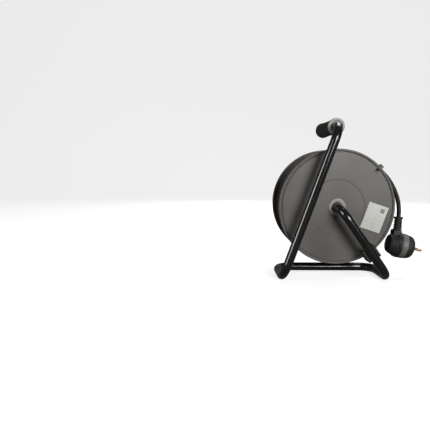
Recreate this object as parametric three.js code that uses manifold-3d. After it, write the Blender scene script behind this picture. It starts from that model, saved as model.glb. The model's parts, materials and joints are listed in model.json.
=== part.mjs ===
// Extension cord reel: a cable drum that turns on the end of one bent steel tube.
// Millimetres, +Z up. The drum's axis runs along Y; the frame's legs are on the -Y side and the
// four sockets on the +Y side. The origin is the middle of the footprint, on the floor.
import * as THREE from 'three';
import { mergeVertices } from 'three/addons/utils/BufferGeometryUtils.js';
import Module from 'manifold-3d';

const wasm = await Module();
wasm.setup();

// ---------------------------------------------------------------- driving dimensions
const gap = 0.3;                 // between pieces that touch
const runningGap = 0.6;          // between a piece that turns and the piece it turns in

// frame tube, measured from the drum's axis (x, z) and from the rear flange's face (y)
const tubeRadius = 9;
const tubeWall = 1.5;
const tubeSides = 12;
const hubHeight = 151;           // drum axis above the floor
const handleRise = 165;          // handle axis above the drum axis
const handleX = -5;
const leftFootX = -114;
const rightFootX = 100;
const legPlaneY = -34;
const crossbarY = 77;
const axleLength = 84;           // how far the tube reaches into the drum
const axleBend = 30;
const footBend = 30;
const handleBend = 32;

// handle grip
const gripRadius = 16.4;
const gripLength = 116;
const gripCollarLength = 7;

// drum
const drumRadius = 120;
const drumDepth = 128;           // over both flange rims
const flangeWall = 3;
const rimHeight = 1.5;           // how far a rim stands proud of its flange
const rimWidth = 4.8;
const rimReturn = 6;             // how far a rim turns back over the winding space
const coreWall = 2.5;
const hubTubeRadius = 17;
const hubTubeWall = 3;
const hubTubeLength = 72;
const collarRadius = 18;         // light ring round the axle
const collarLip = 2.4;

// cable
const cableDiameter = 9;
const coilRadius = 95;           // outside of the wound cable
const coilSideGap = 1.5;
const cableEntryY = 18;          // where the cable passes into the core, from the flange's face

// sockets and their panel
const panelOverlap = 8;          // how far the panel laps over the core's radius
const panelWall = 4;
const socketCount = 4;
const socketCircle = 32.5;
const cupRadius = 19.6;
const cupWall = 1.9;
const cupDepth = 17.5;
const cupFloor = 3;
const pinSpacing = 19;
const pinHoleRadius = 2.7;
const cupToCore = 1.5;           // room between a socket and the core's inside
const screwRadius = 1.9;
const screwHeadRadius = 3.2;
const lidRadius = 22.6;
const lidWall = 2.6;
const hingePinRadius = 1.3;
const hingeRise = 3.4;           // hinge axis above the panel's face
const lugWidth = 3;
const knuckleLength = 14;

// thermal cut-out
const buttonRadius = 4.2;
const buttonProud = 4;
const buttonTravel = 2.5;
const cutoutRadius = 8;
const cutoutLength = 26;

// winding knob
const knobCircle = 103;
const knobRadius = 13;
const knobLength = 30;
const knobBoltRadius = 4;

// clamp that holds the cable inside the core
const clampInset = 21;           // its middle, in from the core's outside
const clampLength = 14;
const clampStrap = 8;
const clampScrewZ = 11;

// label, cable clip and guide
const labelWidth = 56;
const labelHeight = 42;
const labelWall = 0.5;
const labelClearance = 23.5;     // its middle, out from the raised ring
const labelAngle = -15.7;
const labelTilt = -109;
const clipAngle = 43;
const clipWidth = 8;
const clipWindow = 10;
const guideDistance = 113;       // from the drum axis down the right leg
const guideWidth = 28;
const guideLength = 27;

// plug, in its own frame: pins along +x, cable from above
const plugClearance = 22.8;      // its middle, out from the flange's rim
const plugY = 24;
const plugZ = -84.4;
const plugTilt = -13;
const entryTilt = -3;            // the strain relief's own lean
const plugRadius = 27;
const plugBack = -28;
const seamX = -4;                // where the housing meets the band
const bandX = 8;
const faceX = 24;
const faceRadius = 25.5;
const pinRadius = 2.4;
const pinLength = 19;
const earthZ = 18;
const earthWidth = 6;
const reliefX = -15;
const reliefZ = 31.5;
const neckHalf = 11;
const neckFront = 7;             // the neck's reach towards the pins
const reliefLength = 27;

// ---------------------------------------------------------------- sizes that follow
const frontFace = drumDepth - rimHeight;          // front flange's outer face
const panelBack = frontFace + gap;
const panelFace = panelBack + panelWall;
const socketPitch = 360 / socketCount;
const cupOuter = cupRadius + cupWall;
const coreRadius = socketCircle + cupOuter + cupToCore + coreWall;
const embossRadius = coreRadius - 0.5;
const panelRadius = coreRadius + panelOverlap;
const panelScrewCircle = coreRadius + 3;
const labelCircle = embossRadius + labelClearance;
const plugX = drumRadius + plugClearance;
const hingeCircle = socketCircle + lidRadius + 3.2;
const hingeY = panelFace + hingeRise;
const handleZ = hubHeight + handleRise;
const gripStart = legPlaneY + handleBend + 3;
const gripEnd = gripStart + gripLength + 2 * gripCollarLength;
const tubeEndY = gripEnd + 3;
const knobEnd = frontFace + 3 + knobLength;

const rearMostY = legPlaneY - tubeRadius;
const originX = (drumRadius + leftFootX - tubeRadius) / 2;
const originY = (rearMostY + knobEnd) / 2;

// ---------------------------------------------------------------- materials
const finish = (color, roughness, metalness = 0) =>
  new THREE.MeshStandardMaterial({ color, roughness, metalness });

const enamel = () => finish(0x0d0d0e, 0.18, 0.2);
const greyPlastic = () => finish(0x645f5a, 0.5);
const darkPlastic = () => finish(0x1b1b1d, 0.55);
const softGrip = () => finish(0x202022, 0.7);
const lightPlastic = () => finish(0xa5a298, 0.45);
const rubber = () => finish(0x161617, 0.65);
const paper = () => finish(0xf0f0e8, 0.6);
const zinc = () => finish(0xb4b6b8, 0.35, 1);
const brass = () => finish(0xb08d4a, 0.3, 1);
const nickel = () => finish(0xc9c4bb, 0.25, 1);
const redPlastic = () => finish(0xa32018, 0.4);

// ---------------------------------------------------------------- geometry helpers
const rad = THREE.MathUtils.degToRad;

function solid(geometry) {
  const bare = geometry.clone();
  bare.deleteAttribute('normal');
  bare.deleteAttribute('uv');
  const merged = mergeVertices(bare, 1e-4);
  return new wasm.Manifold(new wasm.Mesh({
    numProp: 3,
    vertProperties: new Float32Array(merged.attributes.position.array),
    triVerts: new Uint32Array(merged.index.array),
  }));
}

function toGeometry(manifold) {
  const mesh = manifold.getMesh();
  const geometry = new THREE.BufferGeometry();
  geometry.setAttribute('position', new THREE.BufferAttribute(mesh.vertProperties, 3));
  geometry.setIndex(new THREE.BufferAttribute(mesh.triVerts, 1));
  geometry.computeVertexNormals();
  return geometry;
}

const cut = (geometry, tools) =>
  toGeometry(tools.reduce((left, tool) => left.subtract(solid(tool)), solid(geometry)));

const join = (geometries) =>
  toGeometry(geometries.slice(1).reduce((all, g) => all.add(solid(g)), solid(geometries[0])));

// A profile of [radius, height] points, turned about Y; it starts and ends on the axis or closes.
const turned = (profile, sides) =>
  new THREE.LatheGeometry(profile.map(([r, y]) => new THREE.Vector2(r, y)), sides);

function ring(inner, outer, y0, y1, sides = 24) {
  return turned([[inner, y0], [outer, y0], [outer, y1], [inner, y1], [inner, y0]], sides);
}

function disc(radius, y0, y1, sides = 24) {
  return turned([[0, y0], [radius, y0], [radius, y1], [0, y1]], sides);
}

function block(x0, x1, y0, y1, z0, z1) {
  return new THREE.BoxGeometry(x1 - x0, y1 - y0, z1 - z0)
    .translate((x0 + x1) / 2, (y0 + y1) / 2, (z0 + z1) / 2);
}

// Turns a shape about Y by an angle counted from +X towards +Z.
const aboutAxis = (geometry, degrees) => geometry.rotateY(-rad(degrees));

function piece(parent, name, geometry, material) {
  const mesh = new THREE.Mesh(geometry, material);
  mesh.name = name;
  parent.add(mesh);
  return mesh;
}

// A path of straight runs with a round bend at each inner corner, one station at each ring.
class BentPath extends THREE.Curve {
  constructor(corners, bends, bendSteps) {
    super();
    this.stations = [];
    this.addStation(corners[0], corners[1].clone().sub(corners[0]));
    bends.forEach((bend, i) => this.addBend(corners[i], corners[i + 1], corners[i + 2], bend, bendSteps));
    const last = corners.length - 1;
    this.addStation(corners[last], corners[last].clone().sub(corners[last - 1]));
  }

  addStation(point, tangent) {
    this.stations.push({ point: point.clone(), tangent: tangent.clone().normalize() });
  }

  addBend(before, corner, after, bend, steps) {
    const into = corner.clone().sub(before).normalize();
    const out = after.clone().sub(corner).normalize();
    const turn = into.angleTo(out);
    const start = corner.clone().addScaledVector(into, -bend * Math.tan(turn / 2));
    const side = out.clone().addScaledVector(into, -out.dot(into)).normalize();
    for (let i = 0; i <= steps; i += 1) {
      const a = turn * i / steps;
      const point = start.clone()
        .addScaledVector(into, bend * Math.sin(a))
        .addScaledVector(side, bend * (1 - Math.cos(a)));
      const tangent = into.clone().multiplyScalar(Math.cos(a)).addScaledVector(side, Math.sin(a));
      this.addStation(point, tangent);
    }
  }

  get steps() {
    return this.stations.length - 1;
  }

  between(t, key) {
    const place = Math.min(Math.max(t, 0), 1) * this.steps;
    const i = Math.min(Math.floor(place), this.steps - 1);
    return this.stations[i][key].clone().lerp(this.stations[i + 1][key], place - i);
  }

  getPoint(t) {
    return this.between(t, 'point');
  }

  getTangent(t) {
    return this.between(t, 'tangent').normalize();
  }

  getUtoTmapping(u) {
    return u;
  }
}

function circle(radius, sides) {
  return Array.from({ length: sides }, (_, i) => {
    const a = 2 * Math.PI * i / sides;
    return new THREE.Vector2(radius * Math.cos(a), radius * Math.sin(a));
  });
}

function swept(outer, inner, sides, path, steps) {
  const section = new THREE.Shape(circle(outer, sides));
  if (inner > 0) section.holes.push(new THREE.Path(circle(inner, sides).reverse()));
  return new THREE.ExtrudeGeometry(section, { steps, extrudePath: path, bevelEnabled: false });
}

// ---------------------------------------------------------------- frame
const reel = new THREE.Group();
reel.position.set(-originX, -originY, 0);

const hub = new THREE.Group();
hub.position.set(0, 0, hubHeight);
reel.add(hub);

function frameTube() {
  const corners = [
    [0, axleLength, hubHeight],
    [0, legPlaneY, hubHeight],
    [rightFootX, legPlaneY, tubeRadius],
    [rightFootX, crossbarY, tubeRadius],
    [leftFootX, crossbarY, tubeRadius],
    [leftFootX, legPlaneY, tubeRadius],
    [handleX, legPlaneY, handleZ],
    [handleX, tubeEndY, handleZ],
  ].map((p) => new THREE.Vector3(...p));
  const bends = [axleBend, footBend, footBend, footBend, footBend, handleBend];
  const path = new BentPath(corners, bends, 5);
  return swept(tubeRadius, tubeRadius - tubeWall, tubeSides, path, path.steps);
}

function addHandle() {
  const bore = tubeRadius + gap;
  const handle = new THREE.Group();
  handle.position.set(handleX, gripStart, handleZ);
  reel.add(handle);
  const bodyStart = gripCollarLength + gap;
  const bodyEnd = gripCollarLength + gripLength - gap;
  const waist = gripRadius - 0.8;
  const grip = [
    [bore, bodyStart], [gripRadius - 0.5, bodyStart], [gripRadius, bodyStart + 4],
    [waist, bodyStart + gripLength * 0.3], [waist, bodyStart + gripLength * 0.7],
    [gripRadius, bodyEnd - 4], [gripRadius - 0.5, bodyEnd], [bore, bodyEnd], [bore, bodyStart],
  ];
  piece(handle, 'handle_grip', turned(grip, 20), softGrip());
  const lip = gripRadius + 0.6;
  const collar = (y0) => turned([
    [bore, y0], [lip - 1, y0], [lip, y0 + 1.2], [lip, y0 + gripCollarLength - 1.2],
    [lip - 1, y0 + gripCollarLength], [bore, y0 + gripCollarLength], [bore, y0],
  ], 20);
  piece(handle, 'grip_collar_rear', collar(0), lightPlastic());
  piece(handle, 'grip_collar_front', collar(gripCollarLength + gripLength), darkPlastic());
  const end = tubeEndY - gripStart;
  const capRadius = (tubeRadius - tubeWall) * Math.cos(Math.PI / tubeSides) - gap;
  piece(handle, 'handle_end_cap', turned([
    [0, end - 10], [capRadius, end - 10], [capRadius, end + gap], [tubeRadius + 1.4, end + gap],
    [tubeRadius + 1.4, end + 1.6], [tubeRadius - 1.6, end + 3.4], [0, end + 4],
  ], 20), darkPlastic());
}

function addAxleParts() {
  const bore = tubeRadius + gap;
  const sleeveRadius = hubTubeRadius - hubTubeWall - runningGap;
  const bushRadius = sleeveRadius - 0.2;
  piece(hub, 'axle_sleeve', ring(bore, bushRadius, 1, 30, 20), darkPlastic());
  piece(hub, 'axle_washer', ring(bore, hubTubeRadius, hubTubeLength + 3 + runningGap,
    hubTubeLength + 5 + runningGap, 24), zinc());
  const clipStart = hubTubeLength + 5 + runningGap + gap;
  piece(hub, 'axle_retaining_ring', cut(ring(bore, tubeRadius + 4, clipStart, clipStart + 1.6, 20),
    [block(-2.5, 2.5, clipStart - 1, clipStart + 3, 0, tubeRadius + 6)]), zinc());
}

// A saddle pushed on to the right leg; its two cheeks keep the flange's edge in line.
function rimGuide() {
  const body = block(-guideWidth / 2, guideWidth / 2, legPlaneY, -rimHeight - runningGap,
    -guideLength / 2, guideLength / 2);
  const bore = disc(tubeRadius + gap, -guideLength, guideLength, 20).rotateX(Math.PI / 2)
    .translate(0, legPlaneY, 0);
  const cheek = 3;
  const channel = block(-guideWidth / 2 + cheek, guideWidth / 2 - cheek,
    legPlaneY + tubeRadius + 3, 0, -guideLength, guideLength);
  const shape = cut(body, [bore, channel]);
  const drop = hubHeight - tubeRadius;
  const lean = Math.atan2(rightFootX, drop);
  return shape.translate(0, 0, -guideDistance).rotateY(-lean);
}

piece(reel, 'frame_tube', frameTube(), enamel());
addHandle();
addAxleParts();
piece(hub, 'rim_guide', rimGuide(), darkPlastic());

// ---------------------------------------------------------------- drum
const drum = new THREE.Group();
hub.add(drum);
const flangeSides = 40;

function rearFlange() {
  const rimInner = drumRadius - rimWidth;
  const tubeInner = hubTubeRadius - hubTubeWall;
  const spigot = coreRadius - coreWall - gap;
  const profile = [
    [collarRadius - 3, 0], [embossRadius - 1.8, 0], [embossRadius - 0.8, -0.8], [embossRadius + 0.8, -0.8],
    [embossRadius + 1.8, 0], [rimInner - 2.4, 0], [rimInner - 1.8, 1], [rimInner - 0.5, 1],
    [rimInner, -rimHeight], [drumRadius - 1, -rimHeight], [drumRadius, -rimHeight + 1],
    [drumRadius, flangeWall + rimReturn], [drumRadius - 2.4, flangeWall + rimReturn],
    [drumRadius - 2.4, flangeWall], [spigot, flangeWall], [spigot, flangeWall + 5],
    [spigot - 2.5, flangeWall + 5], [spigot - 2.5, flangeWall], [hubTubeRadius, flangeWall],
    [hubTubeRadius, hubTubeLength], [tubeInner, hubTubeLength], [tubeInner, collarLip + 2],
    [collarRadius - 3, collarLip + 2], [collarRadius - 3, 0],
  ];
  const window = aboutAxis(block(drumRadius - rimWidth - clipWindow + 1, drumRadius - rimWidth - 1.6,
    -2, flangeWall + 2, -clipWidth / 2 - gap, clipWidth / 2 + gap), clipAngle);
  return cut(turned(profile, flangeSides), [window]);
}

function frontFlange() {
  const rimInner = drumRadius - rimWidth;
  const back = frontFace - flangeWall;
  const opening = coreRadius - coreWall;
  const profile = [
    [opening, back], [drumRadius - 2.4, back], [drumRadius - 2.4, back - rimReturn],
    [drumRadius, back - rimReturn], [drumRadius, drumDepth - 1], [drumRadius - 1, drumDepth],
    [rimInner, drumDepth], [rimInner - 0.5, frontFace - 1], [rimInner - 1.8, frontFace - 1],
    [rimInner - 2.4, frontFace], [opening, frontFace], [opening, back],
  ];
  const holes = [disc(knobBoltRadius + gap, back - 2, frontFace + 2, 12).translate(knobCircle, 0, 0)];
  for (let i = 0; i < socketCount; i += 1) {
    const hole = disc(screwRadius + gap, back - 2, frontFace + 2, 10).translate(panelScrewCircle, 0, 0);
    holes.push(aboutAxis(hole, socketPitch * i));
  }
  return cut(turned(profile, flangeSides), holes);
}

function windingCore() {
  const start = flangeWall + gap;
  const end = frontFace - flangeWall - gap;
  const barrel = ring(coreRadius - coreWall, coreRadius, start, end, flangeSides);
  const entry = disc(cableDiameter / 2 + 2.5, 0, coreRadius * 2, 16).rotateZ(-Math.PI / 2)
    .translate(0, cableEntryY, 0);
  return cut(barrel, [entry]);
}

function hubCollar() {
  const bore = tubeRadius + 1.4;
  const neck = hubTubeRadius - hubTubeWall - gap - 0.2;
  return turned([
    [bore, -collarLip], [collarRadius - 2, -collarLip], [collarRadius, -collarLip + 1],
    [collarRadius, -gap], [neck, -gap], [neck, 1 - gap], [bore, 1 - gap], [bore, -collarLip],
  ], 24);
}

function rimClip() {
  const window = drumRadius - rimWidth - clipWindow + 1;
  const shape = new THREE.Shape([
    [window + gap + 2, 9], [window + gap + 2, -rimHeight + 0.1], [window + gap, -rimHeight + 0.1],
    [window + gap, 11], [drumRadius + 5, 11], [drumRadius + 5, -rimHeight],
    [drumRadius + gap, -rimHeight], [drumRadius + gap, 0], [drumRadius + 3.4, 0],
    [drumRadius + 3.4, 9 + gap], [window + gap + 2, 9 + gap],
  ].map(([r, y]) => new THREE.Vector2(r, y)));
  const strap = new THREE.ExtrudeGeometry(shape, { depth: clipWidth, bevelEnabled: false })
    .translate(0, 0, -clipWidth / 2);
  return aboutAxis(strap, clipAngle);
}

function typeLabel() {
  const plate = new THREE.BoxGeometry(labelWidth, labelWall, labelHeight);
  plate.translate(0, -gap - labelWall / 2, 0);
  aboutAxis(plate, labelTilt);
  const a = rad(labelAngle);
  return plate.translate(labelCircle * Math.cos(a), 0, labelCircle * Math.sin(a));
}

function cableCoil() {
  const start = flangeWall + coilSideGap;
  const end = frontFace - flangeWall - coilSideGap;
  return ring(coreRadius + gap, coilRadius, start, end, 40);
}

function cableEntryBush() {
  const tube = ring(cableDiameter / 2 + gap, cableDiameter / 2 + 2.2, 0, 12, 16);
  return tube.rotateZ(-Math.PI / 2).translate(coreRadius - 12 - 0.4, cableEntryY, 0);
}

function addDrumShell() {
  piece(drum, 'rear_flange', rearFlange(), greyPlastic());
  piece(drum, 'winding_core', windingCore(), greyPlastic());
  piece(drum, 'front_flange', frontFlange(), greyPlastic());
  piece(drum, 'hub_collar', hubCollar(), lightPlastic());
  piece(drum, 'rim_cable_clip', rimClip(), greyPlastic());
  piece(drum, 'type_label', typeLabel(), paper());
  piece(drum, 'cable_coil', cableCoil(), rubber());
  piece(drum, 'cable_entry_bush', cableEntryBush(), darkPlastic());
  const inner = hubTubeRadius - hubTubeWall - gap;
  piece(drum, 'hub_bush', ring(tubeRadius + runningGap, inner, hubTubeLength - 24, hubTubeLength, 20),
    lightPlastic());
}

// ---------------------------------------------------------------- socket panel
function atSocket(geometry, index) {
  return aboutAxis(geometry.translate(socketCircle, 0, 0), 45 + socketPitch * index);
}

function hingeLug(side) {
  const inner = knuckleLength / 2 + gap;
  const z0 = side > 0 ? inner : -inner - lugWidth;
  return block(hingeCircle - 2.8, hingeCircle + 2.8, panelFace - 1, hingeY + 2.6, z0, z0 + lugWidth);
}

const hingeRod = (radius, half) =>
  disc(radius, -half, half, 12).rotateX(Math.PI / 2).translate(hingeCircle, hingeY, 0);

function socketPanel() {
  const plate = turned([
    [0, panelBack], [panelRadius, panelBack], [panelRadius, panelFace - 1.2],
    [panelRadius - 1.2, panelFace], [0, panelFace],
  ], flangeSides);
  const additions = [plate];
  const tools = [disc(cutoutRadius - 2, panelBack - 2, panelFace + 2, 16)];
  for (let i = 0; i < socketCount; i += 1) {
    const angle = 45 + socketPitch * i;
    additions.push(aboutAxis(hingeLug(1), angle), aboutAxis(hingeLug(-1), angle));
    tools.push(atSocket(disc(cupOuter + gap, panelBack - 2, panelFace + 2, 24), i));
    tools.push(aboutAxis(hingeRod(hingePinRadius + 0.15, knuckleLength), angle));
    const screw = disc(screwRadius + gap, panelBack - 2, panelFace + 2, 10).translate(panelScrewCircle, 0, 0);
    tools.push(aboutAxis(screw, socketPitch * i));
  }
  return cut(join(additions), tools);
}

function socketInsert() {
  const top = panelFace + 0.6;
  const bottom = top - cupDepth - cupFloor;
  const cup = turned([
    [0, bottom], [cupOuter, bottom], [cupOuter, top], [cupRadius, top],
    [cupRadius, bottom + cupFloor], [0, bottom + cupFloor],
  ], 24);
  const hole = (z) => disc(pinHoleRadius, bottom - 1, bottom + cupFloor + 1, 10).translate(0, 0, z);
  return cut(cup, [hole(pinSpacing / 2), hole(-pinSpacing / 2)]);
}

// Two earth springs standing up inside the cup, from one strip across its floor.
function earthBracket() {
  const floor = panelFace + 0.6 - cupDepth + gap;
  const reach = cupRadius - 1.2;
  const strip = block(-reach, reach, floor, floor + 1, -2.5, 2.5);
  const spring = (x) => block(x - 0.5, x + 0.5, floor, floor + cupDepth - 5, -2.5, 2.5);
  return join([strip, spring(reach - 0.5), spring(0.5 - reach)]);
}

function socketLid() {
  const y0 = panelFace + 1;
  const plate = turned([
    [0, y0], [lidRadius, y0], [lidRadius, y0 + lidWall - 0.8], [lidRadius - 0.8, y0 + lidWall],
    [0, y0 + lidWall],
  ], 28).translate(socketCircle, 0, 0);
  const arm = block(socketCircle + lidRadius - 4, hingeCircle, y0, y0 + lidWall,
    -knuckleLength / 2 + gap, knuckleLength / 2 - gap);
  const knuckle = hingeRod(2.4, knuckleLength / 2 - gap);
  const tab = block(socketCircle - lidRadius - 1.4, socketCircle - lidRadius + 3, y0, y0 + lidWall, -4, 4);
  return cut(join([plate, arm, knuckle, tab]), [hingeRod(hingePinRadius + 0.35, knuckleLength)]);
}

function screwShape(headRadius, headY, length) {
  return turned([
    [0, headY - length], [screwRadius, headY - length], [screwRadius, headY], [headRadius, headY],
    [headRadius, headY + 1.2], [headRadius - 1.2, headY + 2.2], [0, headY + 2.2],
  ], 12);
}

// A strip bent round the hub tube that joins the same pole of all four sockets.
function busbar(radius, y0) {
  const strip = ring(radius, radius + 5, y0, y0 + 1, 32);
  const notch = block(0, radius + 10, y0 - 2, y0 + 4, -3, 3);
  return cut(strip, [notch]);
}

function addSockets() {
  piece(drum, 'socket_panel', socketPanel(), darkPlastic());
  for (let i = 0; i < socketCount; i += 1) {
    const angle = 45 + socketPitch * i;
    const number = i + 1;
    piece(drum, `socket_insert_${number}`, atSocket(socketInsert(), i), greyPlastic());
    piece(drum, `earth_bracket_${number}`, atSocket(earthBracket(), i), nickel());
    piece(drum, `socket_lid_${number}`, aboutAxis(socketLid(), angle), darkPlastic());
    const half = knuckleLength / 2 + gap + lugWidth;
    piece(drum, `lid_pin_${number}`, aboutAxis(hingeRod(hingePinRadius, half), angle), zinc());
    const screw = screwShape(screwHeadRadius, panelFace + gap, panelWall + flangeWall + gap);
    screw.translate(panelScrewCircle, 0, 0);
    piece(drum, `panel_screw_${number}`, aboutAxis(screw, socketPitch * i), zinc());
  }
  const busY = panelFace + 0.6 - cupDepth - cupFloor - 4;
  piece(drum, 'line_busbar', busbar(hubTubeRadius + 6, busY), brass());
  piece(drum, 'neutral_busbar', busbar(hubTubeRadius + 16, busY), brass());
}

// ---------------------------------------------------------------- cut-out and knob
function addCutout() {
  const back = panelBack - gap - cutoutLength;
  const bore = buttonRadius + runningGap;
  const housing = turned([
    [0, back], [cutoutRadius, back], [cutoutRadius, panelBack - gap], [bore - 1.6, panelBack - gap],
    [bore - 1.6, back + 3], [0, back + 3],
  ], 20);
  piece(drum, 'cutout_housing', housing, darkPlastic());
  piece(drum, 'cutout_bezel', turned([
    [bore, panelFace + gap], [cutoutRadius, panelFace + gap], [cutoutRadius - 1, panelFace + 1.8],
    [bore, panelFace + 1.8], [bore, panelFace + gap],
  ], 24), darkPlastic());
  const stem = bore - 1.6 - runningGap;
  const stemEnd = panelFace - 12;
  const top = panelFace + 1.8 + buttonProud;
  piece(drum, 'reset_button', turned([
    [0, stemEnd], [stem, stemEnd], [stem, panelBack + buttonTravel], [buttonRadius, panelBack + buttonTravel],
    [buttonRadius, top - 1], [buttonRadius - 1, top], [0, top],
  ], 20), redPlastic());
}

function addKnob() {
  const knobStart = frontFace + 3;
  const bore = knobBoltRadius + runningGap;
  const knob = turned([
    [bore, knobStart], [knobRadius - 3, knobStart], [knobRadius - 1, knobStart + 3],
    [knobRadius - 2.5, knobStart + knobLength * 0.35], [knobRadius, knobStart + knobLength * 0.75],
    [knobRadius - 1.5, knobEnd - 2.5], [knobRadius - 4, knobEnd], [bore + 2.4, knobEnd],
    [bore + 2.4, knobEnd - 5], [bore, knobEnd - 5], [bore, knobStart],
  ], 18).translate(knobCircle, 0, 0);
  piece(drum, 'winding_knob', knob, darkPlastic());
  const back = frontFace - flangeWall - gap;
  const bolt = turned([
    [0, back - 3], [7, back - 3], [7, back], [knobBoltRadius, back],
    [knobBoltRadius, knobEnd - 5 + gap], [bore + 1.6, knobEnd - 5 + gap], [bore + 1.6, knobEnd - 2.4],
    [0, knobEnd - 2.4],
  ], 16).translate(knobCircle, 0, 0);
  piece(drum, 'knob_bolt', bolt, zinc());
  const washer = ring(knobBoltRadius + gap, 9, frontFace + gap, frontFace + 3 - runningGap, 20);
  piece(drum, 'knob_washer', washer.translate(knobCircle, 0, 0), zinc());
}

// ---------------------------------------------------------------- cord clamp inside the core
function addCordClamp() {
  const middle = coreRadius - clampInset;
  const half = clampLength / 2;
  const floor = flangeWall + gap;
  const top = cableEntryY + clampStrap;
  const channel = disc(cableDiameter / 2 + gap, -clampLength, clampLength, 16).rotateZ(Math.PI / 2)
    .translate(middle, cableEntryY, 0);
  const screwHole = (z) => disc(screwRadius + gap, 0, top + gap, 10).translate(middle, 0, z);
  const tools = [channel, screwHole(clampScrewZ), screwHole(-clampScrewZ)];
  const wide = clampScrewZ + 4;
  const seat = block(middle - half, middle + half, floor, cableEntryY - gap, -wide, wide);
  const strap = block(middle - half + 2, middle + half - 2, cableEntryY + gap, top, -wide, wide);
  piece(drum, 'cord_clamp_seat', cut(seat, tools), greyPlastic());
  piece(drum, 'cord_clamp_strap', cut(strap, tools), darkPlastic());
  [-clampScrewZ, clampScrewZ].forEach((z, i) => {
    const screw = screwShape(screwHeadRadius, top + gap, top - floor);
    piece(drum, `clamp_screw_${i + 1}`, screw.translate(middle, 0, z), zinc());
  });
}

addDrumShell();
addSockets();
addCutout();
addKnob();
addCordClamp();

// ---------------------------------------------------------------- free end of the cable
const plug = new THREE.Group();
plug.position.set(plugX, plugY, plugZ);
plug.rotation.y = -rad(plugTilt);
hub.add(plug);

// Turned about the pins' axis, which is the plug's x.
const turnedX = (profile, sides) => turned(profile, sides).rotateZ(-Math.PI / 2);

// Leans a shape made along the plug's z to the cable's direction and sets it on the plug's shoulder.
const atEntry = (geometry) =>
  geometry.rotateY(-rad(entryTilt - plugTilt)).translate(reliefX, 0, reliefZ);

function plugHousing() {
  const shell = turnedX([
    [0, plugBack], [16, plugBack], [19, plugBack + 1.6], [plugRadius - 2.4, seamX - 10],
    [plugRadius, seamX - 4], [plugRadius, seamX], [0, seamX],
  ], 24);
  const neck = atEntry(block(-neckHalf, neckFront, -neckHalf, neckHalf, -16, 0));
  return join([shell, neck]);
}

// The grooves above and below the pins that the earth strips lie in.
function earthGrooves(geometry) {
  const groove = (side) => {
    const z = [side * earthZ, side * (earthZ + 12)].sort((a, b) => a - b);
    return block(seamX + 2, faceX + 2, -earthWidth / 2 - gap, earthWidth / 2 + gap, z[0], z[1]);
  };
  return cut(geometry, [groove(1), groove(-1)]);
}

function addPlug() {
  piece(plug, 'plug_housing', plugHousing(), rubber());
  piece(plug, 'plug_band', earthGrooves(turnedX([
    [0, seamX + gap], [plugRadius - 0.5, seamX + gap], [faceRadius + 0.5, bandX], [0, bandX],
  ], 24)), lightPlastic());
  piece(plug, 'plug_face', earthGrooves(turnedX([
    [0, bandX + gap], [faceRadius, bandX + gap], [faceRadius - 1, faceX - 8],
    [faceRadius - 4, faceX - 2], [faceRadius - 6.5, faceX], [0, faceX],
  ], 24)), rubber());
  [-1, 1].forEach((side, i) => {
    const pin = turnedX([
      [0, faceX + gap], [pinRadius, faceX + gap], [pinRadius, faceX + pinLength - 1.5],
      [pinRadius - 1.2, faceX + pinLength], [0, faceX + pinLength],
    ], 12).translate(0, side * pinSpacing / 2, 0);
    piece(plug, `plug_pin_${i + 1}`, pin, brass());
    const z = side * (earthZ + gap + 0.4);
    const strip = block(seamX + 2 + gap, faceX - 1, -earthWidth / 2, earthWidth / 2, z - 0.4, z + 0.4);
    piece(plug, `plug_earth_strip_${i + 1}`, strip, brass());
  });
  const relief = turned([
    [0, 0], [9.2, 0], [8.4, reliefLength - 4], [9.6, reliefLength - 3], [9.6, reliefLength],
    [0, reliefLength],
  ], 16).rotateX(Math.PI / 2).translate(0, 0, gap);
  piece(plug, 'plug_strain_relief', atEntry(relief), rubber());
}

// Route of the free stretch, from the outside of the coil to the plug's strain relief.
const freeCable = [
  [25.9, 18, 96.6], [38.6, 18, 95.5], [53.5, 18, 92.5], [68.6, 18, 87.6], [82, 18, 81.2],
  [94.2, 18, 73], [104.2, 18, 63.6], [112.8, 18.5, 53], [123.6, 20, 35.4], [131.6, 22, 17.2],
  [135.2, 23, 3.8], [136.7, 23.6, -7.6], [137.1, 24, -16], [136.75, 24, -22.8],
].map((p) => new THREE.Vector3(...p));

function addFreeCable() {
  const path = new THREE.CatmullRomCurve3(freeCable, false, 'centripetal');
  piece(hub, 'free_cable', swept(cableDiameter / 2, 0, 10, path, 18), rubber());
}

addPlug();
addFreeCable();

export default reel;
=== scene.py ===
import json
import math

import bpy
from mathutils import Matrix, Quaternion, Vector

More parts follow.
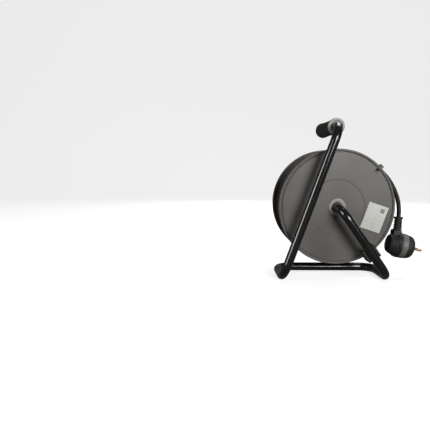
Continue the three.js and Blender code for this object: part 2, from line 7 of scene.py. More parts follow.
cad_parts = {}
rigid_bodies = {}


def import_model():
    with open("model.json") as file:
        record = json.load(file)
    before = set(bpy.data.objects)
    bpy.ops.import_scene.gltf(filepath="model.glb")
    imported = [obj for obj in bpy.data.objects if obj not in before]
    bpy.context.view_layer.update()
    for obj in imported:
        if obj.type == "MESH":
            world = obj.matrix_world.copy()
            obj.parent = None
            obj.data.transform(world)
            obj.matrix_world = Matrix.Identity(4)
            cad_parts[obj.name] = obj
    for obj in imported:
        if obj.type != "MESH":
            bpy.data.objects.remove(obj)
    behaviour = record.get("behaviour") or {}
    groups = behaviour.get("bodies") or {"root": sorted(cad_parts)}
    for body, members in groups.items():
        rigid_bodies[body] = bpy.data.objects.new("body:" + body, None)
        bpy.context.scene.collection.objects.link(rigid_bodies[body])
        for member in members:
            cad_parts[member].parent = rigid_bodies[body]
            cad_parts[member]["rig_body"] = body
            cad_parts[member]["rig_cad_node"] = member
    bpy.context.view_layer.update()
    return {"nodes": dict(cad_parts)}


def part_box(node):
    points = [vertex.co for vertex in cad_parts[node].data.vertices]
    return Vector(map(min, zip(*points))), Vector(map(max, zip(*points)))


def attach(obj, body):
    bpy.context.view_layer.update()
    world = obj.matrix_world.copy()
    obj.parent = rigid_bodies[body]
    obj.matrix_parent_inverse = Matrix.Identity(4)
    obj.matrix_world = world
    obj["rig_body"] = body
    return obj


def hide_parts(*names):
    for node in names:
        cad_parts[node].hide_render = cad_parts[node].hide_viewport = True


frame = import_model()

MM = 0.001
rear_low, rear_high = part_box("rear_flange")
rim_height = 1.5
axle = Vector(((rear_low.x + rear_high.x) / 2, rear_low.y + rim_height * MM, (rear_low.z + rear_high.z) / 2))


def at(x, y, z):
    """A point given in millimetres from the drum's axis (x, z) and from its rear face (y)."""
    return axle + Vector((x, y, z)) * MM


# ------------------------------------------------------------------ camera, floor and light
# A low, nearly level view from the side of the bent tube, with the reel to the right of the middle. The
# floor is one pale sheet that curves up behind the reel; four soft boxes and a faint sky light it.
eye = bpy.data.cameras.new("camera")
eye.lens = 39.6
eye.sensor_width = 36.0
camera = bpy.data.objects.new("camera", eye)
bpy.context.scene.collection.objects.link(camera)
camera.location = at(-241.8, -978.2, 239.6 - axle.z / MM)
yaw, pitch = math.radians(-0.63), math.radians(-6.16)
look = Vector((math.sin(yaw) * math.cos(pitch), math.cos(yaw) * math.cos(pitch), math.sin(pitch)))
camera.rotation_mode = "QUATERNION"
camera.rotation_quaternion = look.to_track_quat("-Z", "Y")
bpy.context.scene.camera = camera
bpy.context.scene.view_settings.view_transform = "Standard"

sky = bpy.data.worlds.new("pale_sky")
sky.use_nodes = True
sky.node_tree.nodes["Background"].inputs["Color"].default_value = (1.0, 1.0, 1.0, 1.0)
seen = sky.node_tree.nodes.new("ShaderNodeLightPath")
brightness = sky.node_tree.nodes.new("ShaderNodeMath")
brightness.operation = "MULTIPLY_ADD"
brightness.inputs[1].default_value = 0.85
brightness.inputs[2].default_value = 0.09
sky.node_tree.links.new(seen.outputs["Is Camera Ray"], brightness.inputs[0])
sky.node_tree.links.new(brightness.outputs["Value"], sky.node_tree.nodes["Background"].inputs["Strength"])
bpy.context.scene.world = sky

bpy.ops.object.select_all(action="DESELECT")
bpy.ops.mesh.primitive_plane_add(size=12.0, location=(0.0, -3.6, 0.0))
floor = bpy.context.object
floor.name = "floor"
bpy.ops.object.mode_set(mode="OBJECT")
for edge in floor.data.edges:
    edge.select = all(floor.data.vertices[v].co.y > 0 for v in edge.vertices)
for point in floor.data.vertices:
    point.select = point.co.y > 0
for face in floor.data.polygons:
    face.select = False
bpy.ops.object.mode_set(mode="EDIT")
bpy.ops.mesh.select_mode(type="EDGE")
bpy.ops.mesh.spin(steps=24, angle=math.radians(-90), center=(0.0, 2.4, 1.5), axis=(1.0, 0.0, 0.0))
bpy.ops.mesh.extrude_region_move(TRANSFORM_OT_translate={"value": (0.0, 0.0, 3.0)})
bpy.ops.object.mode_set(mode="OBJECT")
bpy.ops.object.shade_smooth()
paper = bpy.data.materials.new("pale_floor")
paper.use_nodes = True
paper_shader = paper.node_tree.nodes["Principled BSDF"]
paper_shader.inputs["Base Color"].default_value = (0.45, 0.45, 0.45, 1.0)
paper_shader.inputs["Roughness"].default_value = 0.9
paper_shader.inputs["Emission Color"].default_value = (1.0, 1.0, 1.0, 1.0)
paper_shader.inputs["Emission Strength"].default_value = 0.76
floor.visible_glossy = False
floor.visible_diffuse = False
floor.data.materials.append(paper)


def soft_box(name, place, aim, size, power, glint=True):
    """A square lamp of that size, turned to face the aim, with or without glints on shiny parts."""
    lamp = bpy.data.lights.new(name, "AREA")
    lamp.size = size
    lamp.energy = power
    holder = bpy.data.objects.new(name, lamp)
    bpy.context.scene.collection.objects.link(holder)
    holder.visible_glossy = glint
    holder.location = place
    holder.rotation_mode = "QUATERNION"
    holder.rotation_quaternion = (Vector(aim) - Vector(place)).to_track_quat("-Z", "Y")


soft_box("key_light", (0.66, -1.7, 0.68), (0.0, 0.0, 0.15), 0.8, 26.0)
soft_box("side_light", (-1.8, -0.95, 0.7), (0.0, 0.0, 0.15), 0.8, 16.0)
soft_box("top_light", (0.5, 0.9, 2.0), (0.0, 0.0, 0.15), 1.2, 18.0)
soft_box("socket_light", (0.3, 1.9, 0.6), (0.0, 0.0, 0.15), 0.8, 14.0, glint=False)


# ------------------------------------------------------------------ cable on the drum
# Rubber-sheathed mains cable, 9 mm thick, wound in four layers of even turns. Each turn runs straight round
# the core and steps over by one cable in a short crossing; at a flange it climbs on to the next layer.
cable_width = 9.0
cable_pitch = 9.05
first_layer = 62.8
layer_rise = 9.23
entry_y = 18.0
near_turn_y = 8.95
samples_a_turn = 36


def skin(name, dark, light, patch, dull, grain, depth, metal=0.0, coat=0.0):
    """A finish read from the piece's own coordinates: colour and dullness drift in patches of that size
    and a fine raised grain lies over them. Sizes are in millimetres."""
    made = bpy.data.materials.new(name)
    made.use_nodes = True
    nodes, links = made.node_tree.nodes, made.node_tree.links
    shader = nodes["Principled BSDF"]
    shader.inputs["Metallic"].default_value = metal
    shader.inputs["Coat Weight"].default_value = coat
    shader.inputs["Coat Roughness"].default_value = 0.1
    place = nodes.new("ShaderNodeTexCoord")
    drift = nodes.new("ShaderNodeTexNoise")
    drift.inputs["Scale"].default_value = 1.0 / (patch * MM)
    drift.inputs["Detail"].default_value = 4.0
    links.new(place.outputs["Object"], drift.inputs["Vector"])
    tint = nodes.new("ShaderNodeValToRGB")
    tint.color_ramp.elements[0].position = 0.3
    tint.color_ramp.elements[1].position = 0.7
    tint.color_ramp.elements[0].color = (*dark, 1.0)
    tint.color_ramp.elements[1].color = (*light, 1.0)
    links.new(drift.outputs["Fac"], tint.inputs["Fac"])
    links.new(tint.outputs["Color"], shader.inputs["Base Color"])
    gloss = nodes.new("ShaderNodeMapRange")
    gloss.inputs["From Min"].default_value = 0.3
    gloss.inputs["From Max"].default_value = 0.7
    gloss.inputs["To Min"].default_value = dull[0]
    gloss.inputs["To Max"].default_value = dull[1]
    links.new(drift.outputs["Fac"], gloss.inputs["Value"])
    links.new(gloss.outputs["Result"], shader.inputs["Roughness"])
    speck = nodes.new("ShaderNodeTexNoise")
    speck.inputs["Scale"].default_value = 1.0 / (grain * MM)
    speck.inputs["Detail"].default_value = 3.0
    links.new(place.outputs["Object"], speck.inputs["Vector"])
    bump = nodes.new("ShaderNodeBump")
    bump.inputs["Distance"].default_value = depth * MM
    links.new(speck.outputs["Fac"], bump.inputs["Height"])
    links.new(bump.outputs["Normal"], shader.inputs["Normal"])
    return made


def cord_line(name, points, kind, width, sides):
    """A round cord along the points, as one open curve."""
    line = bpy.data.curves.new(name, "CURVE")
    line.dimensions = "3D"
    line.bevel_depth = width / 2 * MM
    line.bevel_resolution = sides
    line.use_fill_caps = True
    spline = line.splines.new(kind)
    if kind == "BEZIER":
        spline.bezier_points.add(len(points) - 1)
        for knot, point in zip(spline.bezier_points, points):
            knot.co = point
            knot.handle_left_type = knot.handle_right_type = "AUTO"
        spline.resolution_u = 8
    else:
        spline.points.add(len(points) - 1)
        for knot, point in zip(spline.points, points):
            knot.co = (*point, 1.0)
    spline.use_smooth = True
    piece = bpy.data.objects.new(name, line)
    bpy.context.scene.collection.objects.link(piece)
    return piece


def eased(share):
    """From 0 to 1 with a soft start and stop."""
    share = min(max(share, 0.0), 1.0)
    return share * share * (3.0 - 2.0 * share)


def turn_places():
    """The radius and height of every turn, layer by layer."""
    steps = [entry_y + cable_pitch * i for i in range(12)]
    full = [near_turn_y + cable_pitch * i for i in range(13)]
    layers = [steps, full[::-1], full, full[:0:-1]]
    return [(first_layer + layer_rise * k, y) for k, layer in enumerate(layers) for y in layer]


def wound_line():
    """The middle of the wound cable, from the hole in the core to where the free end leaves it."""
    turns = turn_places()
    last_degree = 360 * (len(turns) - 1) + 285
    points = []
    for step in range(last_degree * samples_a_turn // 360 + 1):
        degree = min(step * 360 / samples_a_turn, last_degree - 0.2)
        number, part = divmod(degree, 360)
        radius, y = turns[int(number)]
        if number + 1 < len(turns):
            next_radius, next_y = turns[int(number) + 1]
            y += (next_y - y) * eased((part - 300) / 60)
            radius += (next_radius - radius) * eased((part - 240) / 90)
        radius += (free_start_radius - radius) * eased((degree - last_degree + 70) / 70)
        angle = -math.radians(degree)
        points.append(at(radius * math.cos(angle), y, radius * math.sin(angle)))
    return points


lead_route = [
    (25.9, 18, 96.6), (38.6, 18, 95.5), (53.5, 18, 92.5), (68.6, 18, 87.6), (82, 18, 81.2),
    (94.2, 18, 73), (104.2, 18, 63.6), (112.8, 18.5, 53), (123.6, 20, 35.4), (127.9, 21, 26.4),
    (131.6, 22, 17.2), (135.2, 23, 3.8), (136.7, 23.6, -7.6), (137.1, 24, -16), (136.75, 24, -22.8),
]
free_start_radius = math.hypot(lead_route[0][0], lead_route[0][2])
cable_skin = skin("black_rubber", (0.010, 0.010, 0.010), (0.022, 0.021, 0.020), 30, (0.42, 0.6), 0.5, 0.05)
wound_cable = cord_line("wound_cable", wound_line(), "POLY", cable_width, 4)
wound_cable.data.materials.append(cable_skin)
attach(wound_cable, "drum")
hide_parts("cable_coil")

# The free stretch of the same cable: off the top of the winding, over the edge of the rear flange and
# straight down into the plug, which hangs beside the drum.
mains_lead = cord_line("mains_lead", [at(*point) for point in lead_route], "BEZIER", cable_width, 7)
mains_lead.data.materials.append(cable_skin)
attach(mains_lead, "frame")
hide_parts("free_cable")


# ------------------------------------------------------------------ bent tube stand
# One length of 18 mm steel tube with a 1.5 mm wall: from inside the drum down the right leg, round the
# base and up the left leg to the handle. It is bent cold and coated in glossy black enamel.
tube_radius = 9.0
tube_wall = 1.5
floor_z = tube_radius - axle.z / MM
tube_corners = [
    (0, 84, 0), (0, -34, 0), (100, -34, floor_z), (100, 77, floor_z),
    (-114, 77, floor_z), (-114, -34, floor_z), (-5, -34, 165), (-5, 134, 165),
]
tube_bends = [30, 30, 30, 30, 30, 32]


def done(piece, name, finish, body, *nodes, slot):
    """Names a finished piece, gives it its finish, and lets it ride in the place of its CAD nodes."""
    if bpy.context.mode != "OBJECT":
        bpy.ops.object.mode_set(mode="OBJECT")
    bpy.ops.object.select_all(action="DESELECT")
    piece.select_set(True)
    bpy.context.view_layer.objects.active = piece
    bpy.ops.object.transform_apply(location=True, rotation=True, scale=True)
    bpy.ops.object.shade_smooth_by_angle(angle=math.radians(30))
    apply_modifier(piece, "WEIGHTED_NORMAL", keep_sharp=True)
    piece.name = piece.data.name = name
    piece.data.materials.clear()
    piece.data.materials.append(finish)
    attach(piece, body)
    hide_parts(*nodes)
    return piece


def tidy_shell():
    """Merges doubles and turns every face of the mesh that is being edited outwards."""
    bpy.ops.mesh.select_all(action="SELECT")
    bpy.ops.mesh.remove_doubles(threshold=0.005 * MM)
    bpy.ops.mesh.normals_make_consistent(inside=False)


def apply_modifier(piece, kind, **settings):
    """Adds a modifier with those settings and applies it."""
    bpy.ops.object.select_all(action="DESELECT")
    piece.select_set(True)
    bpy.context.view_layer.objects.active = piece
    added = piece.modifiers.new(kind.lower(), kind)
    for key, value in settings.items():
        setattr(added, key, value)
    bpy.ops.object.modifier_apply(modifier=added.name)


def bent_tube(corners, bends, radius, wall, sides=40, bend_steps=12):
    """A round tube drawn along the corners: each straight is extruded and each bend is spun."""
    corners = [at(*corner) for corner in corners]
    bpy.ops.object.select_all(action="DESELECT")
    start = (corners[1] - corners[0]).to_track_quat("Z", "Y").to_euler()
    bpy.ops.mesh.primitive_circle_add(vertices=sides, radius=radius * MM, location=corners[0], rotation=start)
    piece = bpy.context.object
    bpy.ops.object.mode_set(mode="EDIT")
    bpy.ops.mesh.select_all(action="SELECT")
    here = corners[0]
    for before, corner, after, bend in zip(corners, corners[1:], corners[2:], bends):
        into, out = (corner - before).normalized(), (after - corner).normalized()
        turn = into.angle(out)
        start = corner - into * (bend * MM * math.tan(turn / 2))
        side = (out - into * out.dot(into)).normalized()
        bpy.ops.mesh.extrude_region_move(TRANSFORM_OT_translate={"value": start - here})
        bpy.ops.mesh.spin(steps=bend_steps, angle=turn, center=start + side * bend * MM,
                          axis=side.cross(into))
        here = corner + out * (bend * MM * math.tan(turn / 2))
    bpy.ops.mesh.extrude_region_move(TRANSFORM_OT_translate={"value": corners[-1] - here})
    tidy_shell()
    bpy.ops.object.mode_set(mode="OBJECT")
    bpy.ops.object.transform_apply(location=True, rotation=True, scale=True)
    apply_modifier(piece, "SOLIDIFY", thickness=wall * MM, offset=-1.0, use_even_offset=True)
    return piece


enamel = skin("black_enamel", (0.004, 0.004, 0.004), (0.008, 0.008, 0.008), 60, (0.16, 0.24), 4.0, 0.02,
              coat=0.6)
stand_tube = bent_tube(tube_corners, tube_bends, tube_radius, tube_wall)
done(stand_tube, "stand_tube", enamel, "frame", "frame_tube", slot="frame_enamel")


# ------------------------------------------------------------------ handle grip
# A black plastic sleeve pushed on the top of the tube, slightly waisted, with fine flutes along it so that
# it doesn't slip in a wet hand. A collar holds it at each end: one beside the bend, coloured pale grey as a
# painted highlight on its glossy dark plastic, and a black one in front; a pressed-in cap closes the tube.
handle_x, handle_start, handle_z = -5.0, 1.0, 165.0
flute_count = 36
flute_depth = 0.55


def spun(profile, steps=96, soft=0.3):
    """A turned piece about Y: its half outline is drawn from corner to corner, radius and height in
    millimetres, and spun; sharp rims are then rounded by soft."""
    bpy.ops.object.select_all(action="DESELECT")
    bpy.ops.mesh.primitive_plane_add(size=MM, location=(0.0, 0.0, 0.0))
    piece = bpy.context.object
    bpy.ops.object.mode_set(mode="EDIT")
    bpy.ops.mesh.select_mode(type="VERT")
    bpy.ops.mesh.select_all(action="SELECT")
    bpy.ops.mesh.merge(type="CENTER")
    bpy.ops.transform.translate(value=(profile[0][0] * MM, profile[0][1] * MM, 0.0))
    for (radius, height), (next_radius, next_height) in zip(profile, profile[1:]):
        step = ((next_radius - radius) * MM, (next_height - height) * MM, 0.0)
        bpy.ops.mesh.extrude_vertices_move(TRANSFORM_OT_translate={"value": step})
    bpy.ops.mesh.select_all(action="SELECT")
    bpy.ops.mesh.spin(steps=steps, angle=math.tau, center=(0.0, 0.0, 0.0), axis=(0.0, 1.0, 0.0))
    tidy_shell()
    bpy.ops.object.mode_set(mode="OBJECT")
    if soft:
        apply_modifier(piece, "BEVEL", width=soft * MM, segments=2, limit_method="ANGLE",
                       angle_limit=math.radians(25))
    return piece


def put(piece, foot, turn=Quaternion()):
    """Turns and moves a piece to its place, and leaves both in its mesh."""
    bpy.ops.object.select_all(action="DESELECT")
    piece.select_set(True)
    bpy.context.view_layer.objects.active = piece
    piece.rotation_mode = "QUATERNION"
    piece.rotation_quaternion = turn
    piece.location = foot
    bpy.ops.object.transform_apply(location=True, rotation=True, scale=True)
    return piece


def pick(piece, wanted):
    """Opens a piece in edit mode with just the wanted faces selected."""
    bpy.ops.object.select_all(action="DESELECT")
    piece.select_set(True)
    bpy.context.view_layer.objects.active = piece
    bpy.ops.object.mode_set(mode="EDIT")
    bpy.ops.mesh.select_mode(type="FACE")
    bpy.ops.mesh.select_all(action="DESELECT")
    bpy.ops.object.mode_set(mode="OBJECT")
    for face in piece.data.polygons:
        face.select = wanted(face)
    bpy.ops.object.mode_set(mode="EDIT")


def flute(piece, low, high, count, depth, inner):
    """Sinks lengthwise grooves in the outside of a turned piece between two heights."""
    def wanted(face):
        middle, across = face.center, math.hypot(face.center.x, face.center.z)
        strip = math.floor(math.atan2(middle.z, middle.x) / math.tau * count * 3 + 0.001) % 3
        return low * MM < middle.y < high * MM and across > inner * MM and strip == 0
    pick(piece, wanted)
    bpy.ops.mesh.extrude_region_shrink_fatten(TRANSFORM_OT_shrink_fatten={"value": -depth * MM})
    bpy.ops.object.mode_set(mode="OBJECT")


grip_black = skin("grip_black", (0.010, 0.010, 0.011), (0.022, 0.022, 0.023), 20, (0.42, 0.58), 0.35, 0.03)
grip_outline = [
    (9.3, 7.3), (15.6, 7.3), (16.3, 8.6), (16.4, 12), (16.1, 22), (15.75, 38), (15.6, 56), (15.6, 74),
    (15.75, 92), (16.1, 108), (16.4, 118), (16.3, 121.4), (15.6, 122.7), (9.3, 122.7), (9.3, 7.3),
]
grip = spun(grip_outline, steps=flute_count * 3, soft=0)
flute(grip, 12, 118, flute_count, flute_depth, 15)
put(grip, at(handle_x, handle_start, handle_z))
done(grip, "handle_grip_sleeve", grip_black, "frame", "handle_grip", slot="grip_plastic")

# Painted highlight: the collar by the bend and the hub ring are dark plastic, coloured pale grey here to
# stand for their glossy sheen.
painted_highlight_grey = skin("painted_highlight_grey_plastic", (0.25, 0.242, 0.218), (0.32, 0.31, 0.28), 12, (0.34, 0.46), 0.4,
                    0.02)
black_plastic = skin("black_moulding", (0.012, 0.012, 0.012), (0.024, 0.024, 0.025), 18, (0.38, 0.55), 0.4,
                     0.025)
collar_outline = [
    (9.3, 1.6), (11.6, 1.6), (12.4, 0), (16, 0), (17, 1.2), (17, 5.6), (16.2, 7), (9.3, 7), (9.3, 1.6),
]
rear_collar = put(spun(collar_outline), at(handle_x, handle_start, handle_z))
done(rear_collar, "grip_collar_by_bend", painted_highlight_grey, "frame", "grip_collar_rear", slot="collar_plastic")
about_face = Quaternion((0, 0, 1), math.pi)
front_collar = put(spun(collar_outline), at(handle_x, handle_start + 130, handle_z), about_face)
done(front_collar, "grip_collar_in_front", black_plastic, "frame", "grip_collar_front", slot="dark_plastic")
cap_outline = [
    (0, 123), (6.6, 123), (7.2, 124.5), (7.2, 133.3), (10.4, 133.3), (10.4, 134.6), (9.4, 135.8),
    (6.5, 136.7), (0, 137),
]
tube_cap = put(spun(cap_outline, steps=48), at(handle_x, handle_start, handle_z))
done(tube_cap, "tube_end_cap", black_plastic, "frame", "handle_end_cap", slot="dark_plastic")


# ------------------------------------------------------------------ rear flange
# The drum's closed side, injection moulded in grey-brown plastic in one piece with the tube that turns on
# the axle: a rounded rim, a groove inside it, a low ring over the core and one flow line from the gate.
drum_grey = skin("drum_grey_plastic", (0.098, 0.090, 0.080), (0.128, 0.118, 0.106), 90, (0.36, 0.5), 0.55,
                 0.035)
rim_outline = [(115.2, 0.4), (115.6, -0.9), (116.6, -1.5), (118.4, -1.5), (119.5, -0.9), (120, 0.3)]
flange_sides = 192
clip_angle = 43
window_low, window_high = 106.2, 113.6


def slab(low, high, soft=0.4):
    """A block between two corners, in millimetres from the drum's axis, with rounded edges."""
    bpy.ops.object.select_all(action="DESELECT")
    size = [(b - a) * MM for a, b in zip(low, high)]
    middle = [(a + b) / 2 * MM for a, b in zip(low, high)]
    bpy.ops.mesh.primitive_cube_add(size=1.0, location=middle, scale=size)
    piece = bpy.context.object
    bpy.ops.object.transform_apply(location=True, rotation=True, scale=True)
    if soft:
        apply_modifier(piece, "BEVEL", width=soft * MM, segments=3, limit_method="ANGLE")
    return piece


def merged(piece, how, others):
    """Cuts the others from a piece, or joins them to it, and uses them up."""
    for other in others:
        apply_modifier(piece, "BOOLEAN", operation=how, object=other, solver="EXACT")
        bpy.data.objects.remove(other)
    return piece


def carved(piece, *tools):
    """A piece with the tools cut out of it."""
    return merged(piece, "DIFFERENCE", tools)


def united(piece, *parts):
    """A piece with the parts grown together with it."""
    return merged(piece, "UNION", parts)


def about_y(degrees):
    """The turn about the drum's axis, counted from +X towards +Z."""
    return Quaternion((0, 1, 0), -math.radians(degrees))


rear_outline = [
    (15, 0), (56.5, 0), (57, -0.55), (58, -0.55), (58.5, 0), (112.6, 0), (113, 1.8), (114.8, 1.8),
    *rim_outline, (120, 9), (117.6, 9), (117.6, 3), (55.2, 3), (55.2, 8), (52.7, 8), (52.7, 3), (17, 3),
    (17, 72), (14, 72),
    (14, 4.4), (15, 4.4), (15, 0),
]
rear = spun(rear_outline, steps=flange_sides, soft=0.25)
window = put(slab((window_low, -4, -4.3), (window_high, 6, 4.3)), (0, 0, 0), about_y(clip_angle))
flow_line = put(slab((23, -0.3, -0.6), (54, 0.4, 0.6), 0.25), (0, 0, 0), about_y(172))
united(carved(rear, window), flow_line)
put(rear, axle)
done(rear, "rear_flange_moulding", drum_grey, "drum", "rear_flange", slot="drum_plastic")

# ------------------------------------------------------------------ winding core and front flange
# The core is a separate barrel that sits over a spigot on the rear flange; the cable passes in through one
# hole in it. The front flange closes the winding space and carries the socket panel and the knob.
core = spun([(55.5, 3.3), (58, 3.3), (58, 123.2), (55.5, 123.2), (55.5, 3.3)], steps=flange_sides)
bpy.ops.mesh.primitive_cylinder_add(vertices=48, radius=7 * MM, depth=30 * MM,
                                    location=(57 * MM, entry_y * MM, 0), rotation=(0, math.pi / 2, 0))
carved(core, bpy.context.object)
put(core, axle)
done(core, "winding_barrel", drum_grey, "drum", "winding_core", slot="drum_plastic")

front_outline = [
    (55.5, 123.5), (117.6, 123.5), (117.6, 117.5), (120, 117.5), (120, 126.2), (119.5, 127.4),
    (118.4, 128), (116.6, 128), (115.6, 127.4), (115.2, 126.1), (114.6, 125.5), (113.4, 125.5),
    (112.8, 126.5), (90.5, 126.5), (90, 126.9), (89, 126.9), (88.5, 126.5), (55.5, 126.5), (55.5, 123.5),
]
panel_screw_circle = 61
knob_circle = 103


def drill(radius, x, degrees=0):
    """A round cutter along Y through the drum's front, at that distance and angle round its axis."""
    cutter = spun([(0, 100), (radius, 100), (radius, 150), (0, 150)], steps=40, soft=0)
    put(cutter, (x * MM, 0, 0))
    return put(cutter, (0, 0, 0), about_y(degrees))


front = spun(front_outline, steps=flange_sides, soft=0.25)
carved(front, drill(4.3, knob_circle), *[drill(2.2, panel_screw_circle, 90 * i) for i in range(4)])
put(front, axle)
done(front, "front_flange_moulding", drum_grey, "drum", "front_flange", slot="drum_plastic")

# ------------------------------------------------------------------ hub collar
# A snap-in ring that closes the gap between the drum and the tube where the tube goes in, coloured pale
# grey as a painted highlight on its glossy dark plastic.
hub_outline = [
    (10.4, -2.0), (11.6, -2.4), (15.8, -2.4), (17.4, -1.9), (18, -1.1), (18, -0.3), (13.5, -0.3),
    (13.5, 0.7), (10.4, 0.7), (10.4, -2.0),
]
hub_ring = put(spun(hub_outline, soft=0.2), axle)
done(hub_ring, "hub_snap_ring", painted_highlight_grey, "drum", "hub_collar", slot="collar_plastic")

# ------------------------------------------------------------------ small mouldings of plain plate form
# Parts that are bent or moulded from plate: the clip that hooks the cable end at the rim, the guide on the
# right leg, the earth springs of the sockets and of the plug. Their edges are eased.


def eased_copy(node, soft):
    """A copy of a plain part with its faces merged and its edges rounded."""
    bpy.ops.object.select_all(action="DESELECT")
    piece = frame["nodes"][node].copy()
    piece.data = piece.data.copy()
    piece.parent = None
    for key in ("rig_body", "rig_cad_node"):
        del piece[key]
    bpy.context.scene.collection.objects.link(piece)
    piece.select_set(True)
    bpy.context.view_layer.objects.active = piece
    bpy.ops.object.mode_set(mode="EDIT")
    tidy_shell()
    bpy.ops.mesh.dissolve_limited(angle_limit=math.radians(1))
    bpy.ops.object.mode_set(mode="OBJECT")
    apply_modifier(piece, "BEVEL", width=soft * MM, segments=3, limit_method="ANGLE",
                   angle_limit=math.radians(40))
    return piece


cable_clip = eased_copy("rim_cable_clip", 0.35)
done(cable_clip, "cable_end_clip", drum_grey, "drum", "rim_cable_clip", slot="drum_plastic")
leg_guide = eased_copy("rim_guide", 0.8)
done(leg_guide, "flange_guide", black_plastic, "frame", "rim_guide", slot="dark_plastic")
silver_plate = skin("nickel_plate", (0.62, 0.58, 0.50), (0.72, 0.68, 0.60), 6, (0.2, 0.34), 0.2, 0.006,
                    metal=1.0)
for number in range(1, 5):
    spring = eased_copy(f"earth_bracket_{number}", 0.25)
    done(spring, f"earth_spring_{number}", silver_plate, "drum", f"earth_bracket_{number}",
         slot="nickel_brass")

# ------------------------------------------------------------------ type label
# A white film label with pale grey printing, stuck on the rear flange to the right of the hub. Its print is
# only rows of short bars and a plain square mark.
label = eased_copy("type_label", 0.15)
label_middle = at(81 * math.cos(math.radians(-15.7)), 0, 81 * math.sin(math.radians(-15.7)))
label_tilt = math.radians(-109)


def label_film():
    """White film with rows of faint grey bars and a grey square, laid out on the label's own axes."""
    made = skin("printed_label", (0.60, 0.60, 0.56), (0.66, 0.66, 0.62), 25, (0.35, 0.5), 0.8, 0.01)
    nodes, links = made.node_tree.nodes, made.node_tree.links
    place = nodes["Texture Coordinate"]
    square = nodes.new("ShaderNodeMapping")
    square.vector_type = "TEXTURE"
    square.inputs["Location"].default_value = label_middle
    square.inputs["Rotation"].default_value = (math.radians(90), -label_tilt, 0.0)
    links.new(place.outputs["Object"], square.inputs["Vector"])
    rows = nodes.new("ShaderNodeTexBrick")
    rows.offset = 0.37
    rows.inputs["Color1"].default_value = (0.16, 0.16, 0.16, 1.0)
    rows.inputs["Color2"].default_value = (0.52, 0.52, 0.50, 1.0)
    rows.inputs["Mortar"].default_value = (0.64, 0.64, 0.60, 1.0)
    rows.inputs["Scale"].default_value = 1.0
    rows.inputs["Brick Width"].default_value = 9.0 * MM
    rows.inputs["Row Height"].default_value = 3.4 * MM
    rows.inputs["Mortar Size"].default_value = 1.35 * MM
    rows.inputs["Mortar Smooth"].default_value = 0.1
    links.new(square.outputs["Vector"], rows.inputs["Vector"])
    spread = nodes.new("ShaderNodeMix")
    spread.data_type = "RGBA"
    spread.inputs["Factor"].default_value = 0.6
    links.new(nodes["Color Ramp"].outputs["Color"], spread.inputs["A"])
    links.new(rows.outputs["Color"], spread.inputs["B"])
    split = nodes.new("ShaderNodeSeparateXYZ")
    links.new(square.outputs["Vector"], split.inputs["Vector"])
    inside = nodes.new("ShaderNodeMath")
    inside.operation = "MULTIPLY"
    for step, (axis, middle) in enumerate((("X", -17.5), ("Y", 10.9))):
        near = nodes.new("ShaderNodeMath")
        near.operation = "COMPARE"
        near.inputs[1].default_value = middle * MM
        near.inputs[2].default_value = 4.5 * MM
        links.new(split.outputs[axis], near.inputs[0])
        links.new(near.outputs["Value"], inside.inputs[step])
    mark = nodes.new("ShaderNodeMix")
    mark.data_type = "RGBA"
    mark.inputs["B"].default_value = (0.22, 0.22, 0.21, 1.0)
    links.new(inside.outputs["Value"], mark.inputs["Factor"])
    links.new(spread.outputs["Result"], mark.inputs["A"])
    links.new(mark.outputs["Result"], nodes["Principled BSDF"].inputs["Base Color"])
    return made


done(label, "printed_label", label_film(), "drum", "type_label", slot="label_film")

# ------------------------------------------------------------------ socket panel
# A round black panel screwed over the open front of the drum. It has four round openings for the sockets,
# a pair of hinge lugs outside each, and the reset button of the thermal cut-out in the middle.
socket_circle = 32.5
hinge_circle, hinge_y = 58.3, 134.2
hinge_rod_radius = 1.3
panel_outline = [
    (0, 126.8), (66, 126.8), (66, 129.6), (65.5, 130.5), (64.6, 130.8), (11.5, 130.8), (11, 130.3),
    (9.5, 130.3), (9, 130.8), (0, 130.8),
]


def hinge_rod(radius, half, steps=32, soft=0.0):
    """A rod along a lid's hinge, at the first socket's place before it is turned to its angle."""
    rod = spun([(0, -half), (radius, -half), (radius, half), (0, half)], steps=steps, soft=soft)
    return put(rod, Vector((hinge_circle, hinge_y, 0)) * MM, Quaternion((1, 0, 0), math.pi / 2))


def to_socket(piece, number):
    """Turns a piece from the +X side of the drum to a socket's place, 45 degrees and then every 90."""
    put(piece, (0, 0, 0), about_y(45 + 90 * (number - 1)))
    return piece


panel = spun(panel_outline, steps=flange_sides, soft=0.2)
for number in range(1, 5):
    for side in (-8.8, 8.8):
        lug = slab((55.5, 129.8, side - 1.5), (61.1, 136.8, side + 1.5), 0.6)
        united(panel, to_socket(lug, number))
    carved(panel, to_socket(hinge_rod(hinge_rod_radius + 0.15, 14), number))
    carved(panel, drill(21.8, socket_circle, 45 + 90 * (number - 1)))
    carved(panel, drill(2.2, panel_screw_circle, 90 * (number - 1)))
carved(panel, drill(6, 0))
put(panel, axle)
done(panel, "socket_panel_moulding", black_plastic, "drum", "socket_panel", slot="dark_plastic")

